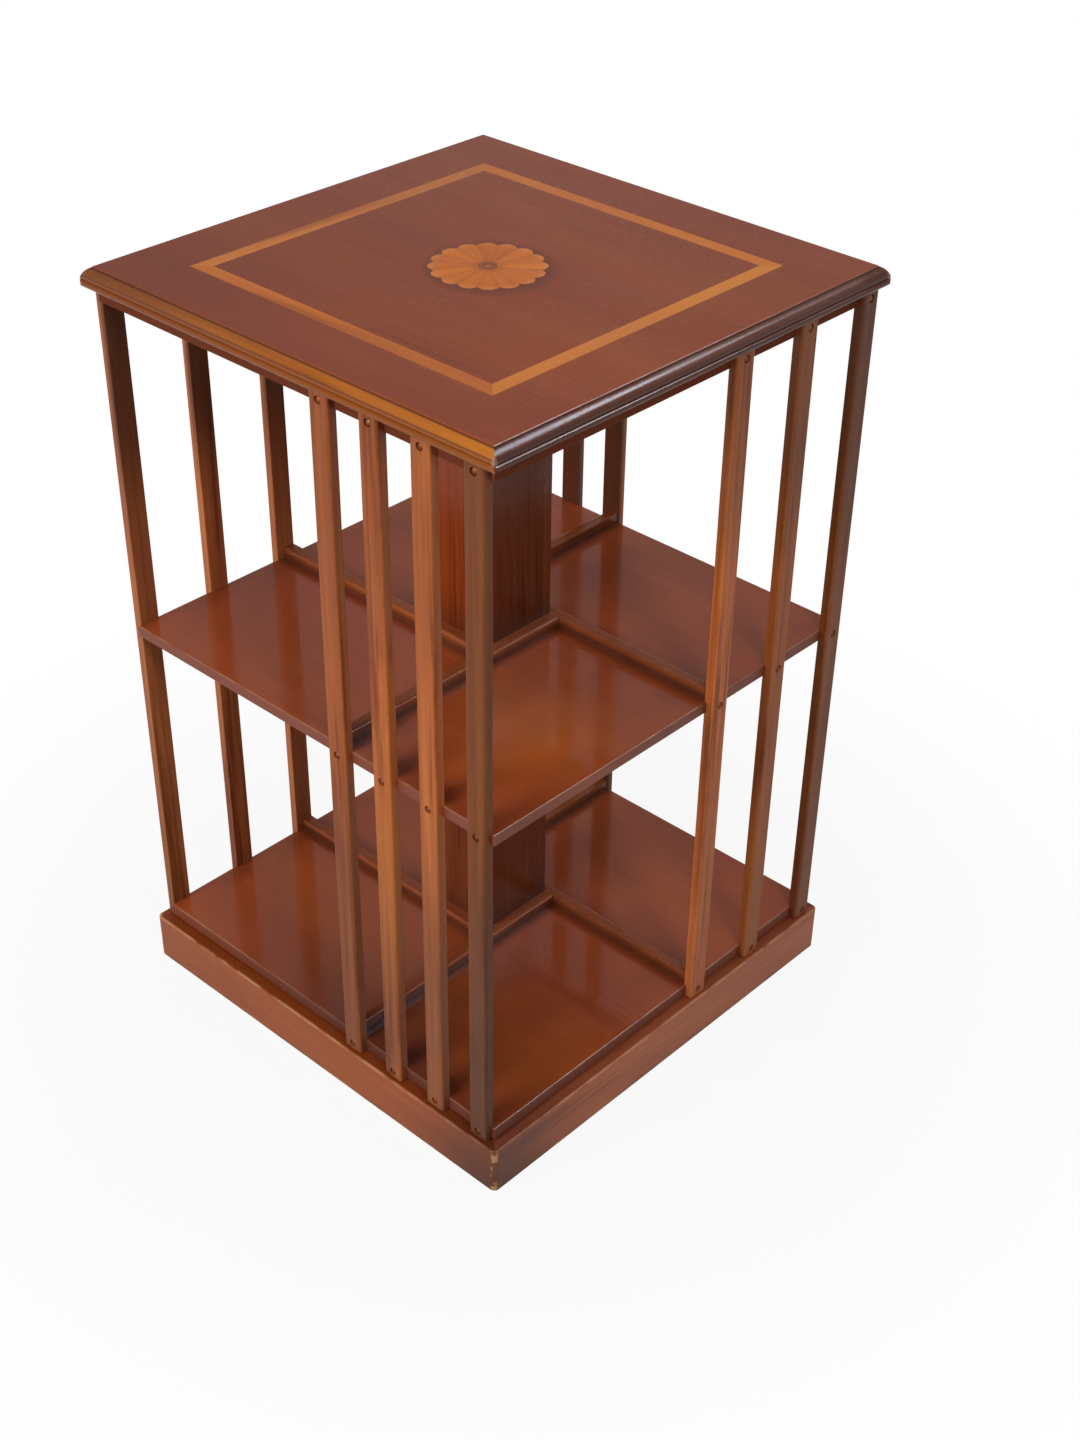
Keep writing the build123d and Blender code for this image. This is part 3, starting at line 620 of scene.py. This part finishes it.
# Top moulding: four mahogany lengths with an ovolo, a quirk and a rounded nose, mitred at the corners and
# glued round the panel. Each side's colour carries painted light and shade: the front one is painted a lit
# orange, darker towards the left corner, and the right-hand one a shaded dark brown. A painted shadow line
# runs under the step, and the worn corner tips carry a painted highlight.
# Painted light and shade: the front is painted a lit orange and the right-hand side a shaded dark brown.
MOULDING_LIT_AND_SHADED = {
    "front": (0.300, 0.090, 0.010),
    "right": (0.112, 0.034, 0.016),
    "back": (0.170, 0.046, 0.014),
    "left": (0.220, 0.062, 0.013),
}
LEFT_END_BROWN, LEFT_END_REACH, LEFT_END_NEAR = (0.120, 0.036, 0.012, 1.0), 0.34, 0.02
QUIRK_START, QUIRK_END = 0.2427, 0.2416
STEP_HEIGHT, STEP_LINE = 0.7671, 0.0010
MOULDING_MITRE = 0.0004
MOULDING_TIP, TIP_FADE = 0.2465, 0.003
WORN_AND_LIT_TIP, TIP_WAVES = (0.30, 0.17, 0.12, 1.0), 120.0
for number, side in enumerate(SIDES):
    node = f"top_moulding_{side}"
    red = MOULDING_LIT_AND_SHADED[side]
    wood = Lacquered(
        node, RUN_OF_SIDE[side], red, seed=number + 71.3, figure=0.8, gloss=0.18, shine=0.3, pores=0.1
    )
    tree = wood.tree
    x, y, z = sides_of(tree)
    out = reckon(tree, "MAXIMUM", x, y)
    # The front length is darker towards the left corner.
    if side == "front":
        from_corner = away_from(tree, LEFT_CORNER)
        wood.coat(LEFT_END_BROWN, fade(tree, from_corner, LEFT_END_REACH, LEFT_END_NEAR, high=0.85))
    # A dark line along the quirk.
    wood.coat(GLUE_AND_SHADE_BROWN, fade(tree, out, QUIRK_START, QUIRK_END, high=0.75))
    # Painted shadow line under the step between the ovolo and the nose.
    off_step = reckon(tree, "ABSOLUTE", reckon(tree, "SUBTRACT", z, STEP_HEIGHT))
    wood.coat(GLUE_AND_SHADE_BROWN, fade(tree, off_step, STEP_LINE, STEP_LINE / 3, high=0.7))
    # The nose below the step is darker.
    wood.coat(wood.dark, fade(tree, z, STEP_HEIGHT + STEP_LINE, STEP_HEIGHT - STEP_LINE, high=0.75))
    wood.coat(GLUE_AND_SHADE_BROWN, mitre_line(tree, MOULDING_MITRE, share=0.5))
    # The corner tips are worn paler and also carry a painted highlight.
    tip = fade(tree, reckon(tree, "MINIMUM", x, y), MOULDING_TIP - TIP_FADE, MOULDING_TIP)
    worn_and_lit = fade(tree, speckle(tree, TIP_WAVES), start=0.42, end=0.56, high=0.6)
    wood.coat(WORN_AND_LIT_TIP, reckon(tree, "MULTIPLY", tip, worn_and_lit))
    finish(node, wood.polish())

# Floor: a plain pale studio floor, painted matt, that takes the soft shadow under the bookcase. It fades
# to the white round it, and shows as a pale grey in the polish.
FLOOR_PALE = (0.50, 0.50, 0.50, 1.0)
WHITE = (1.0, 1.0, 1.0, 1.0)
FLOOR_HALF = 6.0
SHADOW_START, SHADOW_END, SHADOW_WHITE = 0.35, 0.9, 0.91
MIRROR_END, MIRROR_NEAR, MIRROR_FAR = 1.5, 0.32, 0.6
mesh = bpy.data.meshes.new("studio_floor")
corners = [(-FLOOR_HALF, -FLOOR_HALF, 0), (FLOOR_HALF, -FLOOR_HALF, 0)]
corners += [(FLOOR_HALF, FLOOR_HALF, 0), (-FLOOR_HALF, FLOOR_HALF, 0)]
mesh.from_pydata(corners, [], [(0, 1, 2, 3)])
floor = bpy.data.objects.new("studio_floor", mesh)
bpy.context.scene.collection.objects.link(floor)


def seen_straight(tree):
    """1 for what the camera sees straight on."""
    return add_node(tree, "ShaderNodeLightPath").outputs["Is Camera Ray"]


def seen_mirrored(tree):
    """1 for what the camera sees in a polished or clear surface."""
    path = add_node(tree, "ShaderNodeLightPath").outputs
    return reckon(tree, "MAXIMUM", path["Is Glossy Ray"], path["Is Transmission Ray"])


paint, tree, shader = new_finish("studio_floor")
tree.nodes.remove(shader)
matt = add_node(tree, "ShaderNodeBsdfDiffuse", {"Color": FLOOR_PALE}).outputs[0]
glow = add_node(tree, "ShaderNodeEmission", {"Color": WHITE, "Strength": 1.0}).outputs[0]
away = reckon_places(tree, "LENGTH", place_on_piece(tree))["Value"]
straight = fade(tree, away, SHADOW_START, SHADOW_END, low=SHADOW_WHITE)
straight = reckon(tree, "MULTIPLY", straight, seen_straight(tree))
mirrored = fade(tree, away, SHADOW_START, MIRROR_END, low=MIRROR_NEAR, high=MIRROR_FAR)
mirrored = reckon(tree, "MULTIPLY", mirrored, seen_mirrored(tree))
share = reckon(tree, "MAXIMUM", straight, mirrored)
both = add_node(tree, "ShaderNodeMixShader", {0: share, 1: matt, 2: glow}).outputs[0]
tree.links.new(both, tree.nodes["Material Output"].inputs["Surface"])
mesh.materials.append(paint)

# Studio light: white walls under a dimmer ceiling, and a broad warm key lamp from the front. Side, fill
# and back lamps only light the wood. A cool window is seen only in the polish, where it draws the
# highlight along the right-hand moulding.
ROOM_LIGHT = 0.38
WALL_TOP, CEILING_START, CEILING_GREY = 0.02, 0.30, 0.34
world = bpy.data.worlds.new("studio")
bpy.context.scene.world = world
world.use_nodes = True
tree = world.node_tree
_, _, height = axes_of(tree, add_node(tree, "ShaderNodeTexCoord").outputs["Generated"])
walls = fade(tree, height, WALL_TOP, CEILING_START, low=1.0, high=CEILING_GREY)
sockets = {0: seen_mirrored(tree), 2: ROOM_LIGHT, 3: walls}
strength = add_node(tree, "ShaderNodeMix", sockets, data_type="FLOAT").outputs[0]
strength = reckon(tree, "MAXIMUM", strength, seen_straight(tree))
tree.links.new(strength, tree.nodes["Background"].inputs["Strength"])
tree.nodes["Background"].inputs["Color"].default_value = WHITE


def lamp(name, place, aim, width, height, watts, colour):
    """A soft rectangular lamp turned towards a point."""
    light = bpy.data.lights.new(name, "AREA")
    light.shape = "RECTANGLE"
    light.size = width
    light.size_y = height
    light.energy = watts
    light.color = colour
    made = bpy.data.objects.new(name, light)
    bpy.context.scene.collection.objects.link(made)
    made.location = place
    made.rotation_euler = (Vector(aim) - Vector(place)).to_track_quat("-Z", "Y").to_euler()
    return made


place, aim = (-0.3, -3.2, 1.9), (0, 0, 0.35)
lamp("key", place, aim, width=1.8, height=1.8, watts=108.0, colour=(1.0, 0.94, 0.86))
place, aim = (1.55, 1.59, 2.55), (0.2, -0.1, 0.75)
window = lamp("window", place, aim, width=0.9, height=0.9, watts=46.0, colour=(0.78, 0.87, 1.0))
window.visible_diffuse = False
place, aim = (1.15, 1.42, 1.9), (0.2, 0.0, 0.7)
fill = lamp("fill", place, aim, width=1.1, height=0.6, watts=5.0, colour=(0.86, 0.93, 1.0))
fill.visible_glossy = False
place, aim = (2.0, -0.8, 2.05), (0, 0, 0.45)
side_lamp = lamp("side", place, aim, width=0.5, height=0.5, watts=20.0, colour=(1.0, 0.93, 0.85))
side_lamp.visible_glossy = False
place, aim = (-1.5, 1.9, 1.6), (0, 0, 0.4)
back_lamp = lamp("back", place, aim, width=0.8, height=0.8, watts=16.0, colour=(1.0, 0.95, 0.88))
back_lamp.visible_glossy = False

# Camera: stands at the photograph's place and angle, above the top and off the front corner, with its
# small tilt to one side and its shift of the frame.
EYE = Vector((1.1784, -1.2091, 1.4570))
SIGHT_RIGHT = Vector((0.7299, 0.6835, 0.0121))
SIGHT_DOWN = Vector((0.4091, -0.4226, -0.8088))
SENSOR_WIDTH, LENS = 36.0, 51.121
SHIFT_RIGHT, SHIFT_UP = 0.00244, 0.0395
view = bpy.data.cameras.new("camera")
view.sensor_width = SENSOR_WIDTH
view.lens = LENS
view.shift_x = SHIFT_RIGHT
view.shift_y = SHIFT_UP
camera = bpy.data.objects.new("camera", view)
bpy.context.scene.collection.objects.link(camera)
right = SIGHT_RIGHT.normalized()
back = right.cross(-SIGHT_DOWN).normalized()
up = back.cross(right)
camera.matrix_world = Matrix.Translation(EYE) @ Matrix((right, up, back)).transposed().to_4x4()
bpy.context.scene.camera = camera
bpy.context.scene.view_settings.view_transform = "Standard"
